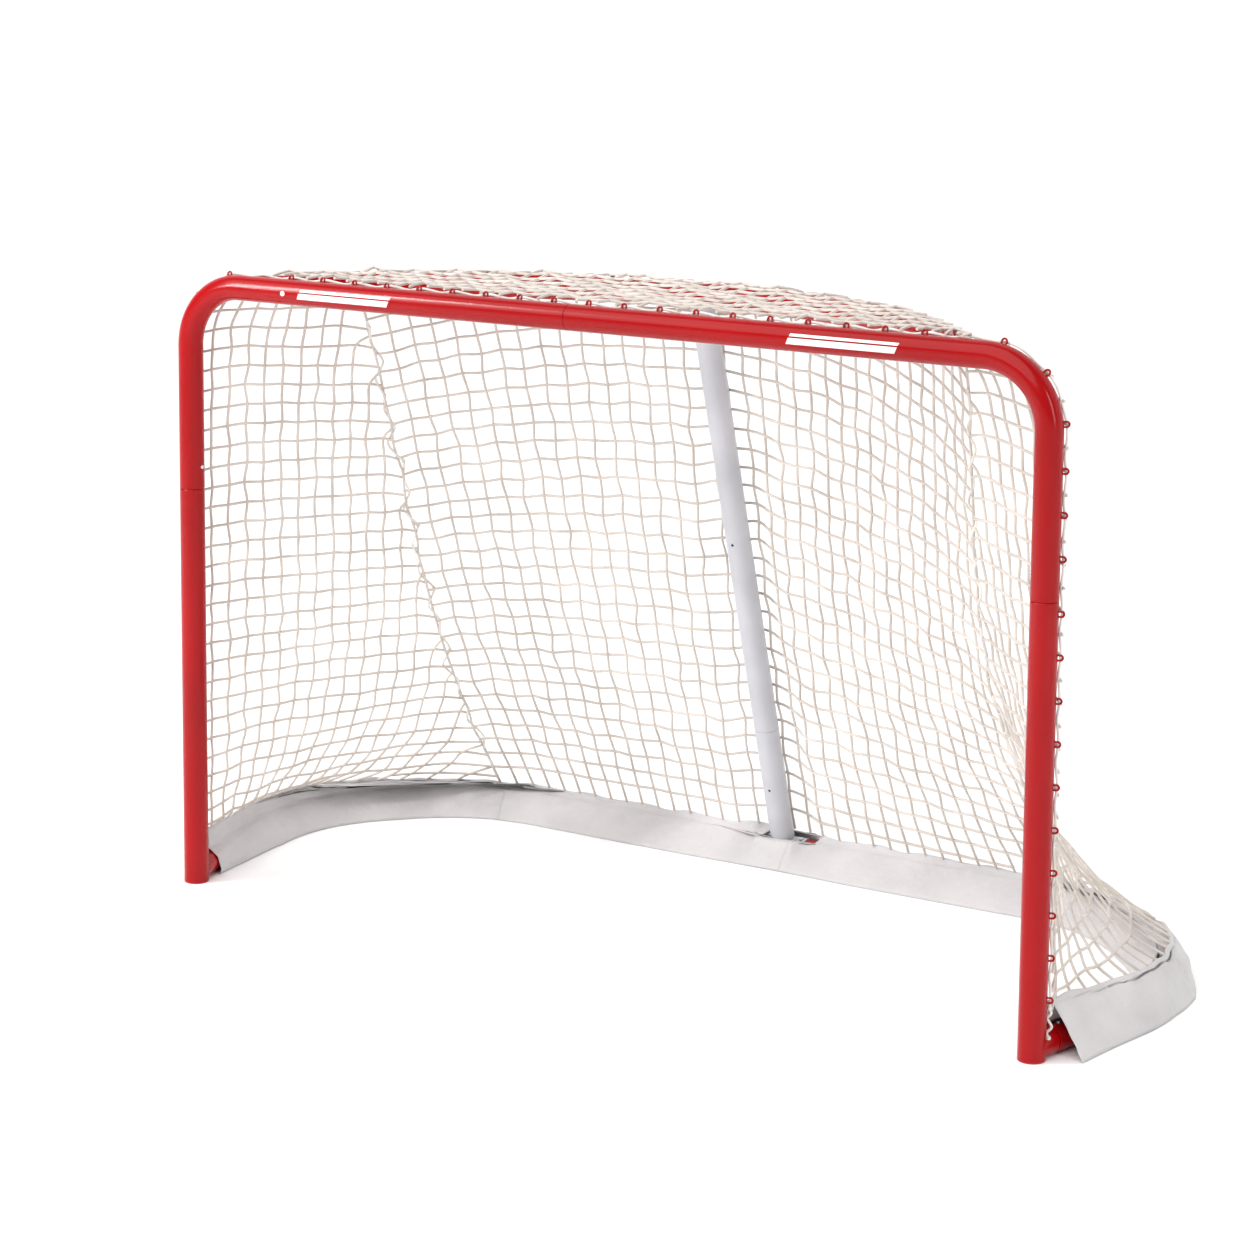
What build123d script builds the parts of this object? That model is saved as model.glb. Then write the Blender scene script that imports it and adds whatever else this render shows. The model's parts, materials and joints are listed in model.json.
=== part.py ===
from build123d import *
from math import acos, atan2, cos, degrees, radians, sin, sqrt
import os

# A hockey goal: a steel tube frame that plugs together, a laced cord net and a kick skirt.
# Millimetres. The origin is on the floor under the middle of the goal, +X to the right as
# seen from the front, +Y to the back, +Z up.

os.makedirs("parts", exist_ok=True)

# ---- Driving dimensions -----------------------------------------------------------------

OPENING_WIDTH = 1828.8  # between the posts
OPENING_HEIGHT = 1219.2  # floor to the underside of the crossbar
TUBE_R = 25.4
WALL = 1.5
CORNER_R = 125.0  # bend of the post into the crossbar, at the tube's axis
POST_SEAM_Z = 823.0
SPIGOT_LENGTH = 75.0
SPIGOT_GAP = 0.25  # radial, spigot in tube
WELD_GAP = 0.1  # between a coped tube end and what it is welded to
SHOULDER = 4.0
SEAM_GAP = 0.5

BASE_DEPTH = 810.0  # goal line to the axis of the rear rail
SIDE_SPLAY = radians(14.9)  # the base rails run outwards from the posts
REAR_R = 450.0
STUB_LENGTH = 45.0  # from the post's axis to the end of the welded stub
STUB_SPIGOT = 55.0

SHELF_INSET = 169.8  # the bow's ends, from the posts' axes
SHELF_DEPTH = 430.0
SHELF_CLEAR = 6.0  # between the crossbar and the bow's outer seams

SUPPORT_SEAM = 292.0  # length of the support's lower tube
SADDLE_T = 2.5
SADDLE_HALF_LENGTH = 54.0
SADDLE_WRAP = radians(60)
SCREW_X = 44.0
SCREW_R = 2.5
SCREW_LENGTH = 11.0
SCREW_HEAD_R = 5.0
SCREW_HEAD_H = 3.2
SCREW_GAP = 0.1

BUTTON_R = 4.0
BUTTON_PROUD = 3.0
BUTTON_GAP = 0.08  # radial, button in its holes
BUTTON_ROUND = 2.0  # rounding of the button's top
BUTTON_FROM_SEAM = 49.0
BUTTON_FLANGE_R = 5.5
BUTTON_FLANGE_T = 1.2
FLANGE_GAP = 0.3  # from the flange's rim to the bore
SPRING_T = 0.8
SPRING_WIDTH = 8.0
SPRING_LENGTH = 38.0
SPRING_MOUTH = 1.6  # half the fold's height
SUPPORT_HOLE_R = 3.0
SUPPORT_HOLES = (155.0, 735.0)  # along the support, from the rear rail's axis

FOOT_T = 3.0
FOOT_PLUG = 14.0
FOOT_EDGE = 1.5  # rounding of the foot's lower edge
PLUG_X = -687.0  # small round plug in the front of the crossbar
PLUG_HEAD_R = 5.2
PLUG_HEAD_T = 1.5
PLUG_EDGE = 1.0
PLUG_STEM_R = 3.0
PLUG_STEM = 6.0

EYELET_WIRE_R = 1.9
EYELET_WIDTH = 13.0
EYELET_PROUD = 11.0
EYELET_PITCH = 77.0
EYELET_TURN = radians(20)  # from square on, towards the back of the goal
EYELET_SINK = 0.3  # weld
CORNER_EYELETS = (radians(12), radians(48), radians(84))  # round the bend, from the crossbar
POST_FIRST_EYELET = 0.25  # below the post's seam, in pitches

SKIRT_T = 2.5
SKIRT_LEAN = 3.6  # the sheet's thickness, measured level along its slope
SKIRT_OVER_EYELETS = 4.7
SKIRT_IN = 48.8  # hem beyond the base tube's side, inside the goal
SKIRT_OUT = 31.6  # the same, outside the goal
SKIRT_COLLAR = 31.0
SKIRT_SPLIT = radians(12)  # round the rear bend, from its widest point
SKIRT_SLOT = 4.0  # clearance in the skirt's gap beside the support's foot
FLOOR_GAP = 1.0

NET_T = 2.5
NET_STANDOFF = 6.5
NET_FRONT = 27.0  # the net's front edge, behind the goal line
NET_BEHIND_SUPPORT = 5.9  # from the support's back to the net, at the net's foot
NET_OVER_COLLAR = 4.0
SEAM_TOP = radians(43)  # net seam round the bow, from its middle
SEAM_FOOT = radians(74)  # net seam round the rear bend, from its widest point
SEAM_CLEAR = 4.0
NET_STEPS = 6  # facets of a side net round each curve
BACK_STEPS = 16
CORNER_TURNS = (radians(45), radians(8))  # side net's points round the post's bend
RUN_SHARES = (0.16, 0.45, 0.75)  # and along the base rail's straight run
CORD_R = 2.0
CORD_GAP = 0.4

# ---- Places worked out from them --------------------------------------------------------

BORE_R = TUBE_R - WALL
SPIGOT_R = BORE_R - SPIGOT_GAP
SPIGOT_BORE = SPIGOT_R - WALL
HEM_OUT = TUBE_R + SKIRT_OUT
HEM_IN = TUBE_R + SKIRT_IN
POST_X = OPENING_WIDTH / 2 + TUBE_R
BAR_Z = OPENING_HEIGHT + TUBE_R
SHELF_HALF_CHORD = POST_X - SHELF_INSET
BEND_X = POST_X - CORNER_R
BEND_Z = BAR_Z - CORNER_R
LINE_Y = -(BASE_DEPTH + HEM_OUT - TUBE_R) / 2  # the goal line
REAR_Y = LINE_Y + BASE_DEPTH
CENTRE_SEAM = -SPIGOT_LENGTH / 2

RUN_LENGTH = (BASE_DEPTH - REAR_R - sin(SIDE_SPLAY) * REAR_R) / cos(SIDE_SPLAY)
REAR_BEND_X = POST_X + sin(SIDE_SPLAY) * RUN_LENGTH - cos(SIDE_SPLAY) * REAR_R
REAR_BEND_Y = REAR_Y - REAR_R
REAR_TURN = radians(90) + SIDE_SPLAY

BOW_R = (SHELF_HALF_CHORD**2 + SHELF_DEPTH**2) / (2 * SHELF_DEPTH)
BOW_Y = LINE_Y + SHELF_DEPTH - BOW_R
BOW_HALF = atan2(SHELF_HALF_CHORD, LINE_Y - BOW_Y)

RIDGE_Z = 2 * TUBE_R + EYELET_PROUD + SKIRT_OVER_EYELETS  # underside of the skirt's fold
COLLAR_Z = RIDGE_Z + SKIRT_T + SKIRT_COLLAR
NET_FOOT_Z = COLLAR_Z + NET_OVER_COLLAR

SUPPORT_TOP = Vector(0, LINE_Y + SHELF_DEPTH, BAR_Z)
SUPPORT_FOOT = Vector(0, REAR_Y, TUBE_R)
SUPPORT_UP = (SUPPORT_TOP - SUPPORT_FOOT).normalized()
SUPPORT_BACK = Vector(0, SUPPORT_UP.Z, -SUPPORT_UP.Y)
SUPPORT_BACK_Y = (TUBE_R + (NET_FOOT_Z - TUBE_R) * SUPPORT_UP.Y) / SUPPORT_UP.Z
NET_FOOT = SUPPORT_BACK_Y + NET_BEHIND_SUPPORT  # outwards from the base tube's axis

SIDES = {"left": -1, "right": 1}


# ---- Helpers ----------------------------------------------------------------------------


def save(piece, label):
    piece.part.label = label
    export_step(piece.part, f"parts/{label}.step")


def tube(start, end, outer=TUBE_R, bore=BORE_R):
    """Adds a straight tube."""
    run = Vector(*end) - Vector(*start)
    with BuildSketch(Plane(origin=start, z_dir=run)) as ring:
        Circle(outer)
        if bore:
            Circle(bore, mode=Mode.SUBTRACT)
    extrude(ring.sketch, amount=run.length)


def bent_tube(start, along, hinge, angle, outer=TUBE_R, bore=BORE_R):
    """Adds a tube bent round a hinge axis, from a start point with a start direction."""
    with BuildSketch(Plane(origin=start, z_dir=along)) as ring:
        Circle(outer)
        if bore:
            Circle(bore, mode=Mode.SUBTRACT)
    revolve(ring.sketch, axis=hinge, revolution_arc=degrees(angle))


def male_end(start, along, length=SPIGOT_LENGTH):
    """Adds a swaged end: a rounded shoulder and the spigot that plugs into the next tube."""
    along = Vector(*along).normalized()
    side = Plane(origin=start, z_dir=along).x_dir
    with BuildSketch(Plane(origin=start, x_dir=side, z_dir=side.cross(along))) as half:
        with BuildLine():
            Polyline((BORE_R, 0), (TUBE_R, 0), (TUBE_R, SHOULDER / 4))
            RadiusArc((TUBE_R, SHOULDER / 4), (SPIGOT_R, SHOULDER), -SHOULDER)
            Polyline(
                (SPIGOT_R, SHOULDER),
                (SPIGOT_R, length),
                (SPIGOT_BORE, length),
                (SPIGOT_BORE, SHOULDER),
                (BORE_R, 0),
            )
        make_face()
    revolve(half.sketch, axis=Axis(start, along))


def drill(centre, towards, radius):
    """Cuts a hole through one wall of the tube round a centre."""
    with BuildSketch(Plane(origin=centre, z_dir=towards)) as hole:
        Circle(radius)
    extrude(hole.sketch, amount=2 * TUBE_R, mode=Mode.SUBTRACT)


def run_point(side, distance, outwards=0.0, z=TUBE_R):
    """A point by a base rail's straight run, from the post's axis."""
    x = POST_X + distance * sin(SIDE_SPLAY) + outwards * cos(SIDE_SPLAY)
    y = LINE_Y + distance * cos(SIDE_SPLAY) - outwards * sin(SIDE_SPLAY)
    return Vector(side * x, y, z)


def rear_point(side, angle, outwards=0.0, z=TUBE_R):
    """A point by the rear bend, at an angle from its widest point."""
    reach = REAR_R + outwards
    return Vector(side * (REAR_BEND_X + reach * cos(angle)), REAR_BEND_Y + reach * sin(angle), z)


def bow_point(angle, outwards=0.0, z=BAR_Z):
    """A point by the shelf's bow, at an angle from its middle, positive to the right."""
    reach = BOW_R + outwards
    return Vector(reach * sin(angle), BOW_Y + reach * cos(angle), z)


def bow_along(angle):
    return Vector(cos(angle), -sin(angle), 0)


def bow_up(angle):
    """The support's way, turned to the bow at an angle from its middle."""
    return SUPPORT_UP.rotate(Axis.Z, -degrees(angle))


def run_along(side):
    return Vector(side * sin(SIDE_SPLAY), cos(SIDE_SPLAY), 0)


def run_out(side):
    return Vector(side * cos(SIDE_SPLAY), -sin(SIDE_SPLAY), 0)


BOW_HINGE = Axis((0, BOW_Y, BAR_Z), (0, 0, -1))
BOW_STUB_ANGLE = acos((LINE_Y - BOW_Y + TUBE_R + SHELF_CLEAR) / (BOW_R - TUBE_R))
BOW_SEAM_ANGLE = CENTRE_SEAM / BOW_R


# ---- Crossbar and posts -----------------------------------------------------------------
# Each corner tube is half the crossbar, the bend and the top of the post in one piece.

for name, side in SIDES.items():
    inwards = Vector(-side, 0, 0)
    button_z = POST_SEAM_Z + BUTTON_FROM_SEAM
    bar_end = CENTRE_SEAM if side < 0 else CENTRE_SEAM + SEAM_GAP + SHOULDER
    with BuildPart() as corner_tube:
        tube((bar_end, LINE_Y, BAR_Z), (side * BEND_X, LINE_Y, BAR_Z))
        bent_tube(
            (side * BEND_X, LINE_Y, BAR_Z),
            (side, 0, 0),
            Axis((side * BEND_X, LINE_Y, BEND_Z), (0, side, 0)),
            radians(90),
        )
        tube(
            (side * POST_X, LINE_Y, BEND_Z),
            (side * POST_X, LINE_Y, POST_SEAM_Z + SEAM_GAP + SHOULDER),
        )
        if side < 0:
            male_end((CENTRE_SEAM, LINE_Y, BAR_Z), (1, 0, 0))
            drill((PLUG_X, LINE_Y, BAR_Z), (0, -1, 0), PLUG_STEM_R + SCREW_GAP)
        drill(
            (CENTRE_SEAM + BUTTON_FROM_SEAM, LINE_Y, BAR_Z), (0, 0, -1), BUTTON_R + BUTTON_GAP
        )
        drill((side * POST_X, LINE_Y, button_z), inwards, BUTTON_R + BUTTON_GAP)
    save(corner_tube, f"{name}_corner_tube")

    with BuildPart() as post_tube:
        tube((side * POST_X, LINE_Y, FOOT_T), (side * POST_X, LINE_Y, POST_SEAM_Z))
        male_end((side * POST_X, LINE_Y, POST_SEAM_Z), (0, 0, 1))
        drill((side * POST_X, LINE_Y, button_z), inwards, BUTTON_R + BUTTON_GAP)
    save(post_tube, f"{name}_post_tube")

    with BuildPart() as foot_cap:
        with BuildSketch(Plane((side * POST_X, LINE_Y, 0))):
            Circle(TUBE_R)
        extrude(amount=FOOT_T)
        fillet(foot_cap.edges().sort_by(Axis.Z)[0], radius=FOOT_EDGE)
        with BuildSketch(Plane((side * POST_X, LINE_Y, FOOT_T))):
            Circle(BORE_R - SCREW_GAP)
            Circle(BORE_R - SCREW_GAP - WALL, mode=Mode.SUBTRACT)
        extrude(amount=FOOT_PLUG)
    save(foot_cap, f"{name}_foot_cap")

with BuildPart() as vent_plug:
    with BuildSketch(Plane((PLUG_X, LINE_Y - TUBE_R, BAR_Z), z_dir=(0, -1, 0))):
        Circle(PLUG_HEAD_R)
    extrude(amount=PLUG_HEAD_T)
    fillet(vent_plug.edges().sort_by(Axis.Y)[0], radius=PLUG_EDGE)
    with BuildSketch(Plane((PLUG_X, LINE_Y - TUBE_R, BAR_Z), z_dir=(0, 1, 0))):
        Circle(PLUG_STEM_R)
    extrude(amount=PLUG_STEM)
save(vent_plug, "vent_plug")


# ---- Base rails -------------------------------------------------------------------------
# A stub is welded to each post's foot. A rail plugs onto it, runs back, bends round the
# corner and meets the other rail behind the goal.

for name, side in SIDES.items():
    with BuildPart() as base_stub:
        tube(run_point(side, 0), run_point(side, STUB_LENGTH))
        male_end(run_point(side, STUB_LENGTH), run_along(side), STUB_SPIGOT)
        drill(run_point(side, STUB_LENGTH + STUB_SPIGOT / 2), (0, 0, 1), BUTTON_R + BUTTON_GAP)
        with BuildSketch(Plane((side * POST_X, LINE_Y, TUBE_R))):
            Circle(TUBE_R + WELD_GAP)
        extrude(amount=2 * TUBE_R, both=True, mode=Mode.SUBTRACT)
    save(base_stub, f"{name}_base_stub")

    rear_end = CENTRE_SEAM if side < 0 else CENTRE_SEAM + SEAM_GAP + SHOULDER
    with BuildPart() as base_tube:
        tube(run_point(side, STUB_LENGTH + SEAM_GAP + SHOULDER), run_point(side, RUN_LENGTH))
        bent_tube(
            run_point(side, RUN_LENGTH),
            run_along(side),
            Axis((side * REAR_BEND_X, REAR_BEND_Y, TUBE_R), (0, 0, side)),
            REAR_TURN,
        )
        tube((side * REAR_BEND_X, REAR_Y, TUBE_R), (rear_end, REAR_Y, TUBE_R))
        if side < 0:
            male_end((CENTRE_SEAM, REAR_Y, TUBE_R), (1, 0, 0))
        drill(run_point(side, STUB_LENGTH + STUB_SPIGOT / 2), (0, 0, 1), BUTTON_R + BUTTON_GAP)
        drill((side * SCREW_X, REAR_Y, TUBE_R), SUPPORT_UP, SCREW_R + SCREW_GAP)
    save(base_tube, f"{name}_base_tube")


# ---- Top shelf --------------------------------------------------------------------------
# A bow in two halves, between two stubs welded to the back of the crossbar.

for name, side in SIDES.items():
    with BuildPart() as shelf_stub:
        hinge = BOW_HINGE if side < 0 else BOW_HINGE.reverse()
        start = bow_point(side * BOW_HALF)
        along = bow_along(side * BOW_HALF) * -side
        shoulder = bow_point(side * BOW_STUB_ANGLE)
        into = bow_along(side * BOW_STUB_ANGLE) * -side
        spigot_angle = STUB_SPIGOT / BOW_R
        bent_tube(start, along, hinge, BOW_HALF - BOW_STUB_ANGLE)
        bent_tube(shoulder, into, hinge, SHOULDER / 2 / BOW_R, TUBE_R - WALL / 2, SPIGOT_BORE)
        bent_tube(shoulder, into, hinge, spigot_angle, SPIGOT_R, SPIGOT_BORE)
        with BuildSketch(Plane((0, LINE_Y, BAR_Z), z_dir=(side, 0, 0))):
            Circle(TUBE_R + WELD_GAP)
        extrude(amount=BEND_X + CORNER_R, mode=Mode.SUBTRACT)
        drill(
            bow_point(side * (BOW_STUB_ANGLE - spigot_angle / 2)), (0, 0, -1), SCREW_R + SCREW_GAP
        )
    save(shelf_stub, f"{name}_shelf_stub")

    with BuildPart() as shelf_tube:
        outer_angle = BOW_STUB_ANGLE - (SHOULDER / 2 + SEAM_GAP) / BOW_R
        inner_angle = BOW_SEAM_ANGLE if side < 0 else BOW_SEAM_ANGLE + (SHOULDER / 2 + SEAM_GAP) / BOW_R
        start = bow_point(side * outer_angle)
        along = bow_along(side * outer_angle) * -side
        bent_tube(start, along, hinge, outer_angle - side * inner_angle)
        if side < 0:
            shoulder = bow_point(BOW_SEAM_ANGLE)
            into = bow_along(BOW_SEAM_ANGLE)
            bent_tube(shoulder, into, hinge, SHOULDER / 2 / BOW_R, TUBE_R - WALL / 2, SPIGOT_BORE)
            bent_tube(shoulder, into, hinge, SPIGOT_LENGTH / BOW_R, SPIGOT_R, SPIGOT_BORE)
        drill(
            bow_point(side * (BOW_STUB_ANGLE - spigot_angle / 2)), (0, 0, -1), SCREW_R + SCREW_GAP
        )
        screw_angle = side * SCREW_X / BOW_R
        drill(bow_point(screw_angle), bow_up(screw_angle) * -1, SCREW_R + SCREW_GAP)
    save(shelf_tube, f"{name}_shelf_tube")


def screw(seat, into, length=SCREW_LENGTH):
    """Adds a dome-headed screw: its seat is the underside of the head."""
    with BuildSketch(Plane(origin=seat, z_dir=into * -1)) as head:
        Circle(SCREW_HEAD_R)
    extrude(head.sketch, amount=SCREW_HEAD_H)
    with BuildSketch(Plane(origin=seat, z_dir=into)) as shank:
        Circle(SCREW_R)
    extrude(shank.sketch, amount=length)


with BuildPart() as shelf_screws:
    for side in SIDES.values():
        seat = bow_point(side * (BOW_STUB_ANGLE - spigot_angle / 2), z=BAR_Z - TUBE_R)
        screw(seat, Vector(0, 0, 1))
save(shelf_screws, "shelf_screws")


# ---- Centre support ---------------------------------------------------------------------
# A white tube in two lengths from the rear rail to the middle of the shelf. A saddle plate
# is welded to each end and screwed to the frame.


def saddle_section(centre, towards):
    """Draws half a pipe's wall, wrapped round a tube on one side of it."""
    middle = degrees(atan2(towards.Z, towards.Y))
    wrap = degrees(SADDLE_WRAP)
    with BuildSketch(Plane(origin=centre, x_dir=(0, 1, 0), z_dir=(1, 0, 0))) as wall:
        with BuildLine():
            inner = CenterArc((0, 0), TUBE_R, middle - wrap, 2 * wrap)
            outer = CenterArc((0, 0), TUBE_R + SADDLE_T, middle - wrap, 2 * wrap)
            Line(inner @ 0, outer @ 0)
            Line(inner @ 1, outer @ 1)
        make_face()
    return wall.sketch


with BuildPart() as foot_saddle:
    extrude(
        saddle_section(SUPPORT_FOOT, SUPPORT_UP), amount=SADDLE_HALF_LENGTH, both=True
    )
    for side in SIDES.values():
        drill((side * SCREW_X, REAR_Y, TUBE_R), SUPPORT_UP, SCREW_R + SCREW_GAP)
save(foot_saddle, "support_foot_saddle")

with BuildPart() as top_saddle:
    wall = saddle_section(SUPPORT_TOP, SUPPORT_UP * -1)
    for hinge in (BOW_HINGE, BOW_HINGE.reverse()):
        revolve(wall, axis=hinge, revolution_arc=degrees(SADDLE_HALF_LENGTH / BOW_R))
    for side in SIDES.values():
        screw_angle = side * SCREW_X / BOW_R
        drill(bow_point(screw_angle), bow_up(screw_angle) * -1, SCREW_R + SCREW_GAP)
save(top_saddle, "support_top_saddle")


def up_support(distance):
    return SUPPORT_FOOT + SUPPORT_UP * distance


with BuildPart() as support_lower:
    tube(SUPPORT_FOOT, up_support(SUPPORT_SEAM))
    male_end(up_support(SUPPORT_SEAM), SUPPORT_UP)
    with BuildSketch(Plane(origin=SUPPORT_FOOT, z_dir=(1, 0, 0))):
        Circle(TUBE_R + SADDLE_T)
    extrude(amount=2 * TUBE_R, both=True, mode=Mode.SUBTRACT)
    drill(up_support(SUPPORT_SEAM + BUTTON_FROM_SEAM), SUPPORT_BACK, BUTTON_R + BUTTON_GAP)
    drill(up_support(SUPPORT_HOLES[0]), SUPPORT_BACK * -1, SUPPORT_HOLE_R)
save(support_lower, "support_lower_tube")

with BuildPart() as support_upper:
    tube(up_support(SUPPORT_SEAM + SEAM_GAP + SHOULDER), SUPPORT_TOP)
    with BuildSketch(Plane(origin=SUPPORT_TOP, x_dir=(0, 1, 0), z_dir=(1, 0, 0))) as notch:
        Circle(TUBE_R + SADDLE_T)
    for hinge in (BOW_HINGE, BOW_HINGE.reverse()):
        notch_angle = degrees(2 * TUBE_R / BOW_R)
        revolve(notch.sketch, axis=hinge, revolution_arc=notch_angle, mode=Mode.SUBTRACT)
    drill(up_support(SUPPORT_SEAM + BUTTON_FROM_SEAM), SUPPORT_BACK, BUTTON_R + BUTTON_GAP)
    drill(up_support(SUPPORT_HOLES[1]), SUPPORT_BACK * -1, SUPPORT_HOLE_R)
save(support_upper, "support_upper_tube")

with BuildPart() as saddle_screws:
    for side in SIDES.values():
        across = Vector(side * SCREW_X, 0, 0)
        reach = TUBE_R + SADDLE_T
        screw(SUPPORT_FOOT + across + SUPPORT_UP * reach, SUPPORT_UP * -1)
        into = bow_up(side * SCREW_X / BOW_R)
        screw(bow_point(side * SCREW_X / BOW_R) - into * reach, into)
save(saddle_screws, "saddle_screws")


# ---- Snap buttons -----------------------------------------------------------------------
# Each joint's spigot holds a steel button on a folded leaf spring. The button stands out
# through both tubes and is pressed in to take the frame apart.

FLANGE_TOP = sqrt(SPIGOT_BORE**2 - BUTTON_FLANGE_R**2) - FLANGE_GAP
PAD_TOP = FLANGE_TOP - BUTTON_FLANGE_T
BUTTON_TRAVEL = BUTTON_PROUD + WALL + SPIGOT_GAP
SPRING_BACK = -(sqrt(SPIGOT_BORE**2 - SPRING_WIDTH**2 / 4) - BUTTON_TRAVEL - SPRING_T)


def snap_button(name, centre, out, along):
    """Makes one button and its spring: out is the button's way, along is the tube's."""
    with BuildPart() as button:
        with BuildSketch(Plane(origin=centre + out * PAD_TOP, z_dir=out)):
            Circle(BUTTON_FLANGE_R)
        extrude(amount=BUTTON_FLANGE_T)
        with BuildSketch(Plane(origin=centre + out * FLANGE_TOP, z_dir=out)):
            Circle(BUTTON_R)
        extrude(amount=TUBE_R + BUTTON_PROUD - FLANGE_TOP)
        fillet(button.faces().sort_by(Axis(centre, out))[-1].edges(), radius=BUTTON_ROUND)
    save(button, f"{name}_button")

    with BuildPart() as spring:
        with BuildLine() as fold:
            FilletPolyline(
                (-BUTTON_FLANGE_R, PAD_TOP - SPRING_T / 2),
                (BUTTON_FLANGE_R, PAD_TOP - SPRING_T / 2),
                (SPRING_LENGTH, SPRING_MOUTH),
                (SPRING_LENGTH, -SPRING_MOUTH),
                (BUTTON_FLANGE_R, SPRING_BACK + SPRING_T / 2),
                (-BUTTON_FLANGE_R, SPRING_BACK + SPRING_T / 2),
                radius=SPRING_T,
            )
        with BuildSketch(Plane(origin=centre, x_dir=along, z_dir=along.cross(out))) as strip:
            trace(fold.line, line_width=SPRING_T)
        extrude(strip.sketch, amount=SPRING_WIDTH / 2, both=True)
    save(spring, f"{name}_button_spring")


for name, side in SIDES.items():
    snap_button(
        f"{name}_post",
        Vector(side * POST_X, LINE_Y, POST_SEAM_Z + BUTTON_FROM_SEAM),
        Vector(-side, 0, 0),
        Vector(0, 0, -1),
    )
    snap_button(
        f"{name}_base",
        run_point(side, STUB_LENGTH + STUB_SPIGOT / 2),
        Vector(0, 0, 1),
        run_along(side) * -1,
    )
snap_button(
    "crossbar",
    Vector(CENTRE_SEAM + BUTTON_FROM_SEAM, LINE_Y, BAR_Z),
    Vector(0, 0, -1),
    Vector(-1, 0, 0),
)
snap_button(
    "support", up_support(SUPPORT_SEAM + BUTTON_FROM_SEAM), SUPPORT_BACK, SUPPORT_UP * -1
)


# ---- Lacing eyelets ---------------------------------------------------------------------
# Bent wire loops welded along the outside of the frame.


def eyelet(root, out, along):
    """Adds one loop: root is on the tube's surface, and along is the tube's way."""
    half = EYELET_WIDTH / 2 - EYELET_WIRE_R
    rise = EYELET_PROUD - EYELET_WIRE_R - half
    loop = Plane(origin=root, x_dir=along, z_dir=along.cross(out))
    with BuildLine(loop) as path:
        Line((-half, -EYELET_SINK), (-half, rise))
        CenterArc((0, rise), half, 180, -180)
        Line((half, rise), (half, -EYELET_SINK))
    with BuildSketch(Plane(origin=path.line @ 0, z_dir=path.line % 0)) as wire:
        Circle(EYELET_WIRE_R)
    sweep(wire.sketch, path=path.line)


TURN = Vector(0, sin(EYELET_TURN), 0)

for name, side in SIDES.items():
    with BuildPart() as bar_eyelets:
        first = CENTRE_SEAM + side * EYELET_PITCH / 2
        spots = int((SHELF_HALF_CHORD - 2 * TUBE_R - abs(first)) // EYELET_PITCH) + 1
        for step in range(spots):
            out = Vector(0, 0, cos(EYELET_TURN)) + TURN
            place = Vector(first + side * step * EYELET_PITCH, LINE_Y, BAR_Z)
            eyelet(place + out * TUBE_R, out, Vector(1, 0, 0))
    save(bar_eyelets, f"{name}_crossbar_eyelets")

    with BuildPart() as corner_eyelets:
        for turn in CORNER_EYELETS:
            away = Vector(side * sin(turn), 0, cos(turn))
            out = away * cos(EYELET_TURN) + TURN
            place = Vector(side * BEND_X, LINE_Y, BEND_Z) + away * CORNER_R
            eyelet(place + out * TUBE_R, out, Vector(side * cos(turn), 0, -sin(turn)))
        for step in range(int((BEND_Z - POST_SEAM_Z) // EYELET_PITCH)):
            out = Vector(side * cos(EYELET_TURN), 0, 0) + TURN
            place = Vector(side * POST_X, LINE_Y, POST_SEAM_Z + (step + 1) * EYELET_PITCH)
            eyelet(place + out * TUBE_R, out, Vector(0, 0, 1))
    save(corner_eyelets, f"{name}_corner_eyelets")

    with BuildPart() as post_eyelets:
        for step in range(int((POST_SEAM_Z - COLLAR_Z) // EYELET_PITCH) + 1):
            out = Vector(side * cos(EYELET_TURN), 0, 0) + TURN
            place = Vector(side * POST_X, LINE_Y, POST_SEAM_Z - (step + POST_FIRST_EYELET) * EYELET_PITCH)
            eyelet(place + out * TUBE_R, out, Vector(0, 0, 1))
    save(post_eyelets, f"{name}_post_eyelets")

    with BuildPart() as base_eyelets:
        up = Vector(0, 0, 1)
        clear_of_stub = STUB_LENGTH + STUB_SPIGOT + EYELET_WIDTH
        for step in range(int((RUN_LENGTH - clear_of_stub) // EYELET_PITCH) + 1):
            place = run_point(side, clear_of_stub + step * EYELET_PITCH, z=2 * TUBE_R)
            eyelet(place, up, run_along(side))
        bend_spots = int(REAR_R * REAR_TURN // EYELET_PITCH)
        for step in range(bend_spots):
            angle = (step + 0.5) * REAR_TURN / bend_spots - SIDE_SPLAY
            place = rear_point(side, angle, z=2 * TUBE_R)
            eyelet(place, up, Vector(-side * sin(angle), cos(angle), 0))
        rail = REAR_BEND_X - SADDLE_HALF_LENGTH - EYELET_WIDTH
        for step in range(int(rail // EYELET_PITCH) + 1):
            x = side * (REAR_BEND_X - step * EYELET_PITCH)
            eyelet(Vector(x, REAR_Y, 2 * TUBE_R), up, Vector(1, 0, 0))
    save(base_eyelets, f"{name}_base_eyelets")


# ---- Kick skirt -------------------------------------------------------------------------
# Sheet folded over the base rails like a tent, with a collar that stands up outside the net.


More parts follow.
